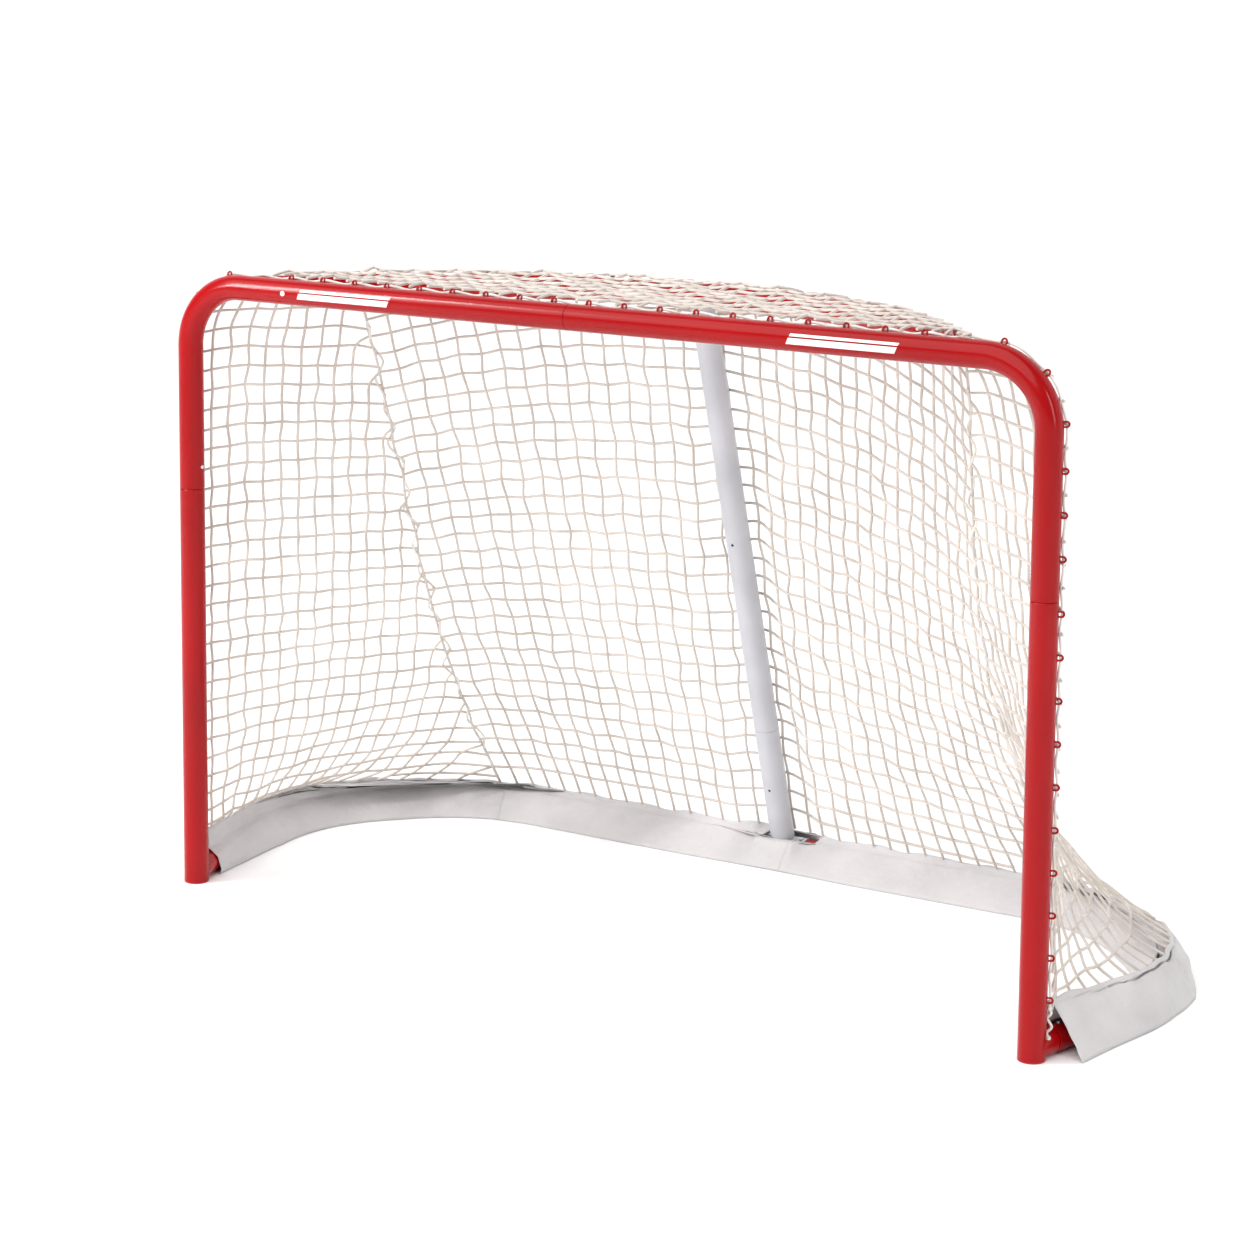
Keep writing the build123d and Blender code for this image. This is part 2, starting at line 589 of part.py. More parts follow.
def skirt_section(plane):
    """Draws the folded sheet across a rail: x is outwards, y is up."""
    top = RIDGE_Z + SKIRT_T
    with BuildSketch(plane) as fold:
        with BuildLine():
            Polyline(
                (-HEM_IN, FLOOR_GAP),
                (-SKIRT_T, top),
                (SKIRT_T, top),
                (SKIRT_T, COLLAR_Z),
                (2 * SKIRT_T, COLLAR_Z),
                (2 * SKIRT_T, top),
                (4 * SKIRT_T, top),
                (HEM_OUT, FLOOR_GAP),
                (HEM_OUT - SKIRT_LEAN, FLOOR_GAP),
                (4 * SKIRT_T - SKIRT_LEAN / 2, RIDGE_Z),
                (-SKIRT_T + SKIRT_LEAN / 2, RIDGE_Z),
                (-HEM_IN + SKIRT_LEAN, FLOOR_GAP),
                close=True,
            )
        make_face()
    return fold.sketch


for name, side in SIDES.items():
    front = STUB_LENGTH + NET_FRONT
    split_gap = SKIRT_T / REAR_R
    up = Vector(0, 0, 1)
    hinge = Axis((side * REAR_BEND_X, REAR_BEND_Y, 0), (0, 0, side))
    with BuildPart() as side_skirt:
        out = run_out(side)
        start = Plane(origin=run_point(side, front, z=0), x_dir=out, z_dir=out.cross(up))
        extrude(skirt_section(start), amount=side * (front - RUN_LENGTH))
        bend = Plane(origin=run_point(side, RUN_LENGTH, z=0), x_dir=out, z_dir=out.cross(up))
        turn = degrees(SIDE_SPLAY + SKIRT_SPLIT - split_gap)
        revolve(skirt_section(bend), axis=hinge, revolution_arc=turn)
    save(side_skirt, f"{name}_skirt")

    with BuildPart() as rear_skirt:
        out = Vector(side * cos(SKIRT_SPLIT), sin(SKIRT_SPLIT), 0)
        bend = Plane(origin=rear_point(side, SKIRT_SPLIT, z=0), x_dir=out, z_dir=out.cross(up))
        revolve(
            skirt_section(bend), axis=hinge, revolution_arc=degrees(radians(90) - SKIRT_SPLIT)
        )
        straight = Plane((side * REAR_BEND_X, REAR_Y, 0), x_dir=(0, 1, 0), z_dir=(1, 0, 0))
        extrude(skirt_section(straight), amount=side * (SADDLE_HALF_LENGTH + SKIRT_SLOT - REAR_BEND_X))
    save(rear_skirt, f"{name}_rear_skirt")


# ---- Net --------------------------------------------------------------------------------
# Four panels of corded mesh, each a thin closed sheet with the net's outer shape.


def sheet(low, high):
    """A thin closed sheet between two edges that are given by the same number of points."""
    last = len(low) - 1
    skins = [[], []]
    for step in range(last + 1):
        before, after = max(step - 1, 0), min(step + 1, last)
        for edge, other in ((low, high), (high, low)):
            way = (edge[after] - edge[before]).normalized()
            rise = (high[step] - low[step]).normalized()
            push = way.cross(rise).normalized() * (NET_T / 2)
            skins[0].append(edge[step] + push)
            skins[1].append(edge[step] - push)
    faces = []

    def patch(a, b, c):
        faces.append(Face(Wire.make_polygon([a, b, c])))

    for skin in skins:
        for step in range(last):
            a, b, c, d = skin[2 * step : 2 * step + 4]
            patch(a, b, c)
            patch(b, d, c)
    front, back = skins
    for row in (0, 1):
        for step in range(last):
            here, there = 2 * step + row, 2 * step + 2 + row
            patch(front[here], front[there], back[there])
            patch(front[here], back[there], back[here])
    for end in (0, 2 * last):
        patch(front[end], front[end + 1], back[end + 1])
        patch(front[end], back[end + 1], back[end])
    return Solid(Shell(faces))


STANDOFF = TUBE_R + NET_STANDOFF
FRONT_Y = LINE_Y + NET_FRONT
BOW_FRONT = radians(90) - atan2(FRONT_Y - BOW_Y, SHELF_HALF_CHORD - NET_FRONT)


def spread(start, end, count):
    return [start + (end - start) * step / count for step in range(count + 1)]


for name, side in SIDES.items():
    seam_top = SEAM_TOP + SEAM_CLEAR / BOW_R
    seam_foot = SEAM_FOOT - SEAM_CLEAR / REAR_R
    top = [Vector(side * (POST_X + STANDOFF), FRONT_Y, BEND_Z)]
    for turn in CORNER_TURNS:
        reach = CORNER_R + STANDOFF
        x = side * (BEND_X + reach * sin(turn))
        top.append(Vector(x, FRONT_Y, BEND_Z + reach * cos(turn)))
    foot = [run_point(side, share * RUN_LENGTH, NET_FOOT, NET_FOOT_Z) for share in RUN_SHARES]
    for angle in spread(BOW_FRONT, seam_top, NET_STEPS):
        top.append(bow_point(side * angle, STANDOFF))
    for angle in spread(-SIDE_SPLAY, seam_foot, NET_STEPS):
        foot.append(rear_point(side, angle, NET_FOOT, NET_FOOT_Z))
    with BuildPart() as side_net:
        add(sheet(foot, top))
    save(side_net, f"{name}_side_net")

rear_half = REAR_R * (radians(90) - SEAM_FOOT) + REAR_BEND_X
with BuildPart() as back_net:
    top = []
    foot = []
    for share in spread(-1.0, 1.0, BACK_STEPS):
        side = 1 if share > 0 else -1
        top.append(bow_point(share * (SEAM_TOP - SEAM_CLEAR / BOW_R), STANDOFF))
        along = abs(share) * (rear_half - SEAM_CLEAR)
        if along < REAR_BEND_X:
            foot.append(Vector(side * along, REAR_Y + NET_FOOT, NET_FOOT_Z))
        else:
            angle = radians(90) - (along - REAR_BEND_X) / REAR_R
            foot.append(rear_point(side, angle, NET_FOOT, NET_FOOT_Z))
    add(sheet(foot, top))
save(back_net, "back_net")

with BuildPart() as top_net:
    with BuildSketch(Plane.XY.offset(BAR_Z + TUBE_R + NET_T)):
        with Locations((0, BOW_Y)):
            Circle(BOW_R + STANDOFF)
        with Locations((0, FRONT_Y)):
            Rectangle(
                2 * (SHELF_HALF_CHORD + NET_FRONT),
                SHELF_DEPTH + 2 * STANDOFF,
                align=(Align.CENTER, Align.MIN),
                mode=Mode.INTERSECT,
            )
    extrude(amount=NET_T)
save(top_net, "top_net")


# ---- Lacing cords -----------------------------------------------------------------------
# One cord holds the net's front edge to the posts and crossbar, and one closes each seam.

with BuildPart() as edge_cord:
    out_reach = TUBE_R + CORD_R + CORD_GAP
    past_eyelets = EYELET_WIRE_R + CORD_R + CORD_GAP
    cord_y = LINE_Y + (past_eyelets + out_reach * sin(EYELET_TURN)) / cos(EYELET_TURN)
    for side in SIDES.values():
        x = side * (POST_X + out_reach)
        tube((0, cord_y, BAR_Z + out_reach), (side * BEND_X, cord_y, BAR_Z + out_reach), CORD_R, 0)
        bent_tube(
            (side * BEND_X, cord_y, BAR_Z + out_reach),
            (side, 0, 0),
            Axis((side * BEND_X, cord_y, BEND_Z), (0, side, 0)),
            radians(90),
            CORD_R,
            0,
        )
        tube((x, cord_y, BEND_Z), (x, cord_y, NET_FOOT_Z), CORD_R, 0)
save(edge_cord, "edge_lacing_cord")

for name, side in SIDES.items():
    with BuildPart() as seam_cord:
        low = rear_point(side, SEAM_FOOT, NET_FOOT, NET_FOOT_Z)
        tube(low, bow_point(side * SEAM_TOP, STANDOFF), CORD_R, 0)
    save(seam_cord, f"{name}_seam_cord")
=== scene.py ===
import json
from functools import partial
from math import acos, atan2, cos, exp, hypot, pi, radians, sin, sqrt

import bpy
import numpy as np
from mathutils import Matrix, Vector


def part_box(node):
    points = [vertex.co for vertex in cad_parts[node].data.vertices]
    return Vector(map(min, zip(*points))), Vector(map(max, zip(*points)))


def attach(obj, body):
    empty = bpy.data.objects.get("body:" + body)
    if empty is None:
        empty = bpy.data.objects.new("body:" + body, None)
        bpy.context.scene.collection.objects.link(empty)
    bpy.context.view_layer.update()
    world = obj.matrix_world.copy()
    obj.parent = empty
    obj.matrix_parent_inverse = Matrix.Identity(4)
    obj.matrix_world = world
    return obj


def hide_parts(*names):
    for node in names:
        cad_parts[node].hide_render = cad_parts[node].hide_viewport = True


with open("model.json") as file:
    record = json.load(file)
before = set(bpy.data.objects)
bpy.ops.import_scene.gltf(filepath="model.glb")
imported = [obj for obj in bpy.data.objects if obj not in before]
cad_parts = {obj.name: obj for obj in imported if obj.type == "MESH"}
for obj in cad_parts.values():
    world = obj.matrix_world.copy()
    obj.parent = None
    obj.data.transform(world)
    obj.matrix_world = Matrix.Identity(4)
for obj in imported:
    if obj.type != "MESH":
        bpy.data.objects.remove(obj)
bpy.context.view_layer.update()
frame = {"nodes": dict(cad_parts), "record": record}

# ---- Camera, floor and light ------------------------------------------------------------
# The goal stands on a plain pale floor under large soft lights, seen from the front right
# at a little over head height.

EYE = Vector((3.186, -5.4847, 2.0343))
YAW, PITCH, ROLL = -0.5675, 0.1498, 0.0065
ahead = Vector((sin(YAW) * cos(PITCH), cos(YAW) * cos(PITCH), -sin(PITCH)))
level = Vector((cos(YAW), -sin(YAW), 0))
above = level.cross(ahead)
across = cos(ROLL) * level + sin(ROLL) * above
upright = -sin(ROLL) * level + cos(ROLL) * above

lens = bpy.data.cameras.new("camera")
lens.sensor_width = 36
lens.lens = 93.5
lens.shift_x, lens.shift_y = 0.0474, -0.1969
camera = bpy.data.objects.new("camera", lens)
turned = Matrix((across, upright, -ahead)).transposed().to_4x4()
camera.matrix_world = Matrix.Translation(EYE) @ turned
bpy.context.collection.objects.link(camera)
bpy.context.scene.camera = camera
bpy.context.scene.view_settings.view_transform = "Standard"


def mesh_object(name, points, faces, edges=()):
    mesh = bpy.data.meshes.new(name)
    mesh.from_pydata([tuple(p) for p in points], list(edges), [tuple(f) for f in faces])
    made = bpy.data.objects.new(name, mesh)
    bpy.context.collection.objects.link(made)
    return made


def new_material(name, colour, roughness):
    """A node material and its shader."""
    made = bpy.data.materials.new(name)
    made.use_nodes = True
    shader = made.node_tree.nodes["Principled BSDF"]
    shader.inputs["Base Color"].default_value = (*colour, 1)
    shader.inputs["Roughness"].default_value = roughness
    return made, shader


REACH, BACK_Y, BACK_TOP = 400, 60, 200
corners = [(-REACH, -REACH, 0), (REACH, -REACH, 0), (REACH, REACH, 0), (-REACH, REACH, 0)]
floor = mesh_object("floor", corners, [(0, 1, 2, 3)])
floor_paint, floor_shader = new_material("floor_paint", (0.95, 0.95, 0.95), 0.9)
floor_shader.inputs["Specular IOR Level"].default_value = 0.1
floor.data.materials.append(floor_paint)
corners = [(-REACH, 0), (REACH, 0), (REACH, BACK_TOP), (-REACH, BACK_TOP)]
backdrop = mesh_object("backdrop", [(x, BACK_Y, z) for x, z in corners], [(0, 1, 2, 3)])
backdrop.data.materials.append(floor_paint)

world = bpy.data.worlds.new("studio")
world.use_nodes = True
sky = world.node_tree.nodes["Background"]
sky.inputs["Color"].default_value = (1, 1, 1, 1)
sky.inputs["Strength"].default_value = 0.38
bpy.context.scene.world = world


def soft_light(name, place, target, size, power):
    data = bpy.data.lights.new(name, "AREA")
    data.shape = "RECTANGLE"
    data.size, data.size_y = size
    data.energy = power
    lamp = bpy.data.objects.new(name, data)
    lamp.location = place
    lamp.rotation_euler = (Vector(target) - Vector(place)).to_track_quat("-Z", "Y").to_euler()
    bpy.context.collection.objects.link(lamp)


soft_light("key", (-3.4, -3.4, 3.2), (0, 0, 0.6), (0.25, 2.6), 150)
soft_light("fill", (4.8, -1.8, 2.4), (0.4, 0, 0.6), (0.3, 2.4), 45)
overcast = bpy.data.objects.new("overcast", bpy.data.lights.new("overcast", "SUN"))
overcast.data.energy = 2.5
overcast.data.angle = radians(75)
overcast.rotation_euler = (radians(40), 0, radians(-14))
bpy.context.collection.objects.link(overcast)


# ---- Steel frame ------------------------------------------------------------------------
# Two-inch steel tube, powder coated in gloss red, with red wire eyelets welded on. The
# support is the same tube in white. Buttons, springs and screws are plated steel.

def add_node(made, kind, values=None, **settings):
    node = made.node_tree.nodes.new(kind)
    for key, value in settings.items():
        setattr(node, key, value)
    for key, value in (values or {}).items():
        node.inputs[key].default_value = value
    return node


def link(made, source, target):
    made.node_tree.links.new(source, target)


def object_noise(made, scale, detail=3.0, roughness=0.5, stretch=(1, 1, 1)):
    """Noise on object coordinates, stretched along the axes."""
    place = add_node(made, "ShaderNodeTexCoord")
    mapping = add_node(made, "ShaderNodeMapping", {"Scale": stretch})
    noise = add_node(
        made, "ShaderNodeTexNoise", {"Scale": scale, "Detail": detail, "Roughness": roughness}
    )
    link(made, place.outputs["Object"], mapping.inputs["Vector"])
    link(made, mapping.outputs["Vector"], noise.inputs["Vector"])
    return noise


def tint(made, shader, noise, dark, light):
    """Colours the surface between two tones by a noise."""
    ramp = add_node(made, "ShaderNodeValToRGB")
    ramp.color_ramp.elements[0].position = 0.3
    ramp.color_ramp.elements[0].color = (*dark, 1)
    ramp.color_ramp.elements[1].position = 0.7
    ramp.color_ramp.elements[1].color = (*light, 1)
    link(made, noise.outputs["Fac"], ramp.inputs["Fac"])
    link(made, ramp.outputs["Color"], shader.inputs["Base Color"])


def bump(made, shader, height, distance, strength=1.0, below=None):
    """Adds relief, over another bump if one is given."""
    relief = add_node(made, "ShaderNodeBump", {"Distance": distance, "Strength": strength})
    link(made, height, relief.inputs["Height"])
    if below:
        link(made, below.outputs["Normal"], relief.inputs["Normal"])
    link(made, relief.outputs["Normal"], shader.inputs["Normal"])
    return relief


def vary_roughness(made, shader, noise, low, high):
    span = add_node(made, "ShaderNodeMapRange", {"To Min": low, "To Max": high})
    link(made, noise.outputs["Fac"], span.inputs["Value"])
    link(made, span.outputs["Result"], shader.inputs["Roughness"])


RED_DARK, RED_LIGHT = (0.27, 0.0, 0.001), (0.36, 0.0, 0.002)
red_enamel, shader = new_material("red_enamel", RED_LIGHT, 0.27)
shader.inputs["Specular IOR Level"].default_value = 0.24
tint(red_enamel, shader, object_noise(red_enamel, 2.2), RED_DARK, RED_LIGHT)
vary_roughness(red_enamel, shader, object_noise(red_enamel, 9.0), 0.14, 0.22)
peel = object_noise(red_enamel, 420.0, 2.0)
bump(red_enamel, shader, peel.outputs["Fac"], 0.0002, 0.2)

white_enamel, shader = new_material("white_enamel", (0.50, 0.50, 0.53), 0.38)
tint(white_enamel, shader, object_noise(white_enamel, 6.0), (0.43, 0.43, 0.46), (0.53, 0.53, 0.56))
vary_roughness(white_enamel, shader, object_noise(white_enamel, 14.0), 0.32, 0.46)
peel = object_noise(white_enamel, 420.0, 2.0)
bump(white_enamel, shader, peel.outputs["Fac"], 0.0002, 0.35)

red_plastic, shader = new_material("red_plastic", (0.36, 0.004, 0.008), 0.42)
mottle = object_noise(red_plastic, 40.0)
tint(red_plastic, shader, mottle, (0.30, 0.003, 0.006), (0.40, 0.004, 0.010))
grain = object_noise(red_plastic, 900.0)
bump(red_plastic, shader, grain.outputs["Fac"], 0.0002, 0.4)

white_plastic, shader = new_material("white_plastic", (0.85, 0.85, 0.83), 0.4)
mottle = object_noise(white_plastic, 90.0)
tint(white_plastic, shader, mottle, (0.78, 0.78, 0.76), (0.88, 0.88, 0.86))
grain = object_noise(white_plastic, 900.0)
bump(white_plastic, shader, grain.outputs["Fac"], 0.0001, 0.4)


def plated(name, colour, roughness):
    """Plated steel with fine drawn marks."""
    made, shader = new_material(name, colour, roughness)
    shader.inputs["Metallic"].default_value = 1.0
    marks = object_noise(made, 300.0, 4.0, 0.6, (1, 1, 8))
    vary_roughness(made, shader, marks, roughness - 0.08, roughness + 0.12)
    bump(made, shader, marks.outputs["Fac"], 0.0001, 0.3)
    return made


FINISHES = {
    "red_enamel": red_enamel,
    "white_enamel": white_enamel,
    "red_plastic": red_plastic,
    "white_plastic": white_plastic,
    "button_steel": plated("button_steel", (0.72, 0.72, 0.74), 0.22),
    "spring_steel": plated("spring_steel", (0.40, 0.40, 0.43), 0.40),
    "screw_steel": plated("screw_steel", (0.58, 0.57, 0.55), 0.35),
}
for part in frame["record"]["subparts"]:
    finish = FINISHES.get(part["material_slot"])
    if finish:
        data = frame["nodes"][part["node"]].data
        data.materials.clear()
        data.materials.append(finish)

# The frame's main sizes, which the pieces below are laid on.
low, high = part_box("right_post_tube")
TUBE_R = (high.x - low.x) / 2
POST_X = (high.x + low.x) / 2
LINE_Y = (high.y + low.y) / 2
BAR_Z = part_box("right_corner_tube")[1].z - TUBE_R
CORNER_R = 0.125
BEND_X, BEND_Z = POST_X - CORNER_R, BAR_Z - CORNER_R


# ---- Crossbar stripes -------------------------------------------------------------------
# Two plain vinyl stripes, cut from white film and pressed round the front of each half of
# the crossbar.

STRIPE_HALF = 0.108
STRIPE_X = 0.545
STRIPE_BANDS = ((-0.36, 0.10), (0.22, 0.42))  # angles up the tube's front
STRIPE_SLANT = 0.012
STRIPE_ACROSS, STRIPE_UP = 12, 6
FILM_PROUD = 0.0004

stripe_film, shader = new_material("stripe_film", (0.80, 0.80, 0.80), 0.3)
tint(stripe_film, shader, object_noise(stripe_film, 60.0), (0.74, 0.74, 0.75), (0.84, 0.84, 0.84))
for side, name in ((-1, "left"), (1, "right")):
    points, faces = [], []
    for from_angle, to_angle in STRIPE_BANDS:
        start = len(points)
        for column in range(STRIPE_ACROSS + 1):
            x = side * STRIPE_X + STRIPE_HALF * (2 * column / STRIPE_ACROSS - 1)
            for row in range(STRIPE_UP + 1):
                angle = from_angle + (to_angle - from_angle) * row / STRIPE_UP
                slant = STRIPE_SLANT * (angle - STRIPE_BANDS[0][0])
                reach = TUBE_R + FILM_PROUD
                y = LINE_Y - reach * cos(angle)
                points.append((x + slant, y, BAR_Z + reach * sin(angle)))
        for column in range(STRIPE_ACROSS):
            for row in range(STRIPE_UP):
                a = start + column * (STRIPE_UP + 1) + row
                faces.append((a, a + STRIPE_UP + 1, a + STRIPE_UP + 2, a + 1))
    stripe = mesh_object(f"{name}_bar_stripes", points, faces)
    stripe.data.materials.append(stripe_film)
    for polygon in stripe.data.polygons:
        polygon.use_smooth = True
    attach(stripe, "frame")


# ---- Net --------------------------------------------------------------------------------
# Knotted white cord in a square mesh. One piece runs from the crossbar over the bow and
# down the back, and a panel is laced in at each side.

MESH = 0.0425
CORD_R = 0.0029
KNOT_R = 0.0038
SHELF_HALF_CHORD = 0.770
SIDE_SPLAY = radians(14.9)
REAR_R = 0.450

shelf_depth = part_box("left_shelf_tube")[1].y - TUBE_R - LINE_Y
BOW_R = (SHELF_HALF_CHORD**2 + shelf_depth**2) / (2 * shelf_depth)
BOW_Y = LINE_Y + shelf_depth - BOW_R
_, base_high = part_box("right_base_tube")
REAR_Y = base_high.y - TUBE_R
REAR_BEND_X = base_high.x - TUBE_R - REAR_R
REAR_BEND_Y = REAR_Y - REAR_R
RUN = hypot(
    REAR_BEND_X + REAR_R * cos(SIDE_SPLAY) - POST_X,
    REAR_BEND_Y - REAR_R * sin(SIDE_SPLAY) - LINE_Y,
)
BEND_LENGTH = REAR_R * (radians(90) + SIDE_SPLAY)
HALF_BASE = RUN + BEND_LENGTH + REAR_BEND_X
SKIRT_SEAM = RUN + REAR_R * (SIDE_SPLAY + radians(74))


def base_place(along):
    """The right base rail's axis and outward direction, at a length from the post."""
    if along < RUN:
        way = Vector((sin(SIDE_SPLAY), cos(SIDE_SPLAY), 0))
        place = Vector((POST_X, LINE_Y, 0)) + way * along
        return place, Vector((way.y, -way.x, 0))
    angle = min((along - RUN) / REAR_R - SIDE_SPLAY, pi / 2)
    out = Vector((cos(angle), sin(angle), 0))
    place = Vector((REAR_BEND_X, REAR_BEND_Y, 0)) + out * REAR_R
    place.x -= max(0.0, along - RUN - BEND_LENGTH)
    return place, out


def mirrored(point, side):
    return Vector((point.x * side, point.y, point.z))


def bow_place(angle, outwards, z):
    reach = BOW_R + outwards
    return Vector((reach * sin(angle), BOW_Y + reach * cos(angle), z))


POST_TIE_Z, REAR_TIE_Z = 0.100, 0.064
TIE_DROP, TIE_DROP_RUN = 0.012, 0.35
SETTLE_AT, SETTLE_OVER = 0.62, 0.07


def tie_height(along):
    """Height of the skirt's top fold, where the net is tied, along a base rail."""
    front = POST_TIE_Z - TIE_DROP * min(1.0, along / TIE_DROP_RUN)
    settle = 1 / (1 + exp((along - SETTLE_AT) / SETTLE_OVER))
    return REAR_TIE_Z + (front - REAR_TIE_Z) * settle


def tie_offset(x):
    """How far out from the rail's axis the fold stands: it passes behind the support."""
    return -0.004 + 0.027 * exp(-((x / 0.075) ** 4))


def tie_point(side, along):
    place, out = base_place(along)
    place = place + out * tie_offset(place.x)
    place.z = tie_height(along)
    return mirrored(place, side)


def ripple(point, size):
    """A small smooth wander, the same on each run."""
    x, y, z = (value * 31.0 for value in point)
    return Vector(
        (
            sin(1.3 * y + 2.1 * z + 0.5) + 0.5 * sin(2.7 * x - 1.9 * z),
            sin(1.7 * x + 1.1 * z + 2.0) + 0.5 * sin(2.3 * z + 3.1 * x),
            sin(1.9 * x + 1.4 * y + 4.0) + 0.5 * sin(2.9 * y - 1.2 * x),
        )
    ) * (size / 1.5)


def cord_tree():
    """Nodes that turn chains of edges into round cord, with a knot at each marked point."""
    tree = bpy.data.node_groups.new("corded_mesh", "GeometryNodeTree")
    face = tree.interface
    face.new_socket("Geometry", in_out="INPUT", socket_type="NodeSocketGeometry")
    for label, value in (("Cord radius", CORD_R), ("Knot radius", KNOT_R)):
        face.new_socket(label, in_out="INPUT", socket_type="NodeSocketFloat").default_value = value
    face.new_socket("Sides", in_out="INPUT", socket_type="NodeSocketInt").default_value = 6
    face.new_socket("Steps", in_out="INPUT", socket_type="NodeSocketInt").default_value = 3
    face.new_socket("Material", in_out="INPUT", socket_type="NodeSocketMaterial")
    face.new_socket("Geometry", in_out="OUTPUT", socket_type="NodeSocketGeometry")

    def node(kind, **settings):
        made = tree.nodes.new(kind)
        for key, value in settings.items():
            setattr(made, key, value)
        return made

    def join(source, target):
        tree.links.new(source, target)

    given = node("NodeGroupInput")
    chains = node("GeometryNodeMeshToCurve")
    kind = node("GeometryNodeCurveSplineType", spline_type="CATMULL_ROM")
    steps = node("GeometryNodeSetSplineResolution")
    ring = node("GeometryNodeCurvePrimitiveCircle")
    tube = node("GeometryNodeCurveToMesh")
    tube.inputs["Fill Caps"].default_value = True
    mark = node("GeometryNodeInputNamedAttribute", data_type="BOOLEAN")
    mark.inputs["Name"].default_value = "knot"
    dots = node("GeometryNodeMeshToPoints")
    ball = node("GeometryNodeMeshIcoSphere")
    ball.inputs["Subdivisions"].default_value = 1
    knots = node("GeometryNodeInstanceOnPoints")
    both = node("GeometryNodeJoinGeometry")
    real = node("GeometryNodeRealizeInstances")
    smooth = node("GeometryNodeSetShadeSmooth")
    paint = node("GeometryNodeSetMaterial")
    result = node("NodeGroupOutput")
    join(given.outputs["Geometry"], chains.inputs["Mesh"])
    join(chains.outputs["Curve"], kind.inputs["Curve"])
    join(kind.outputs["Curve"], steps.inputs["Geometry"])
    join(given.outputs["Steps"], steps.inputs["Resolution"])
    join(given.outputs["Sides"], ring.inputs["Resolution"])
    join(given.outputs["Cord radius"], ring.inputs["Radius"])
    join(steps.outputs["Geometry"], tube.inputs["Curve"])
    join(ring.outputs["Curve"], tube.inputs["Profile Curve"])
    join(given.outputs["Geometry"], dots.inputs["Mesh"])
    join(mark.outputs["Attribute"], dots.inputs["Selection"])
    join(given.outputs["Knot radius"], ball.inputs["Radius"])
    join(dots.outputs["Points"], knots.inputs["Points"])
    join(ball.outputs["Mesh"], knots.inputs["Instance"])
    join(knots.outputs["Instances"], both.inputs["Geometry"])
    join(tube.outputs["Mesh"], both.inputs["Geometry"])
    join(both.outputs["Geometry"], smooth.inputs["Geometry"])
    join(smooth.outputs["Geometry"], real.inputs["Geometry"])
    join(real.outputs["Geometry"], paint.inputs["Geometry"])
    join(given.outputs["Material"], paint.inputs["Material"])
    join(paint.outputs["Geometry"], result.inputs["Geometry"])
    return tree


CORDED_MESH = cord_tree()


def corded(name, chains, knots, material, **sizes):
    """Makes one piece of cord from chains of points, with knots at the given points."""
    points, edges = [], []
    for chain in chains:
        start = len(points)
        points.extend(chain)
        edges.extend((start + k, start + k + 1) for k in range(len(chain) - 1))
    first_knot = len(points)
    points.extend(knots)
    draft = mesh_object(f"{name}_draft", points, (), edges)
    mark = draft.data.attributes.new("knot", "BOOLEAN", "POINT")
    mark.data.foreach_set("value", [k >= first_knot for k in range(len(points))])
    maker = draft.modifiers.new("cord", "NODES")
    maker.node_group = CORDED_MESH
    values = {"Material": material, **sizes}
    for item in CORDED_MESH.interface.items_tree:
        if item.in_out == "INPUT" and item.name in values:
            maker[item.identifier] = values[item.name]
    graph = bpy.context.evaluated_depsgraph_get()
    mesh = bpy.data.meshes.new_from_object(draft.evaluated_get(graph))
    mesh.name = name
    if not mesh.materials:
        mesh.materials.append(material)
    made = bpy.data.objects.new(name, mesh)
    bpy.context.collection.objects.link(made)
    bpy.data.objects.remove(draft)
    return made


net_cord, shader = new_material("net_cord", (0.66, 0.60, 0.55), 0.88)
shader.inputs["Sheen Weight"].default_value = 0.25
shader.inputs["Sheen Roughness"].default_value = 0.5
tint(net_cord, shader, object_noise(net_cord, 14.0, 5.0), (0.50, 0.44, 0.39), (0.68, 0.62, 0.57))
twist = object_noise(net_cord, 900.0, 2.0, 0.5, (1, 1, 0.4))
bump(net_cord, shader, twist.outputs["Fac"], 0.0008, 0.8)

# The seams between the back and the sides, worked out as if each were on the right.
NET_OUT = TUBE_R + CORD_R
SEAMS = {  # head round the bow, foot round the rear bend, forward and outward sag, skew
    -1: (radians(45), radians(72), 0.060, 0.0, 1.6),
    1: (radians(50), radians(74), 0.120, -0.040, 1.3),
}


def seam_ends(side):
    head_angle, foot_angle = SEAMS[side][:2]
    head = bow_place(head_angle, NET_OUT, BAR_Z)
    return head, tie_point(1, RUN + REAR_R * (SIDE_SPLAY + foot_angle))


def seam_sag(side, share):
    _, _, forward, outward, skew = SEAMS[side]
    return Vector((outward, -forward, 0)) * sin(pi * min(max(share, 0), 1) ** skew)


def seam_point(side, z):
    head, foot = seam_ends(side)
    share = min(max((BAR_Z - z) / (BAR_Z - foot.z), 0), 1)
    return head.lerp(foot, share) + seam_sag(side, share)


# The back: columns hang from the bow to the base rail, and rows cross them squarely.
BACK_CELLS = 35
END_GAP = 0.3 * MESH  # no crossing comes nearer than this to a cord's end
ROWS_ABOVE, ROWS_BELOW = 6, int(1.45 / MESH)
BACK_SAG, BACK_RIPPLE = 0.016, 0.0035
foot_reach = {side: REAR_BEND_X + REAR_R * (pi / 2 - SEAMS[side][1]) for side in (-1, 1)}


def head_angle(share):
    return -SEAMS[-1][0] + (SEAMS[-1][0] + SEAMS[1][0]) * share


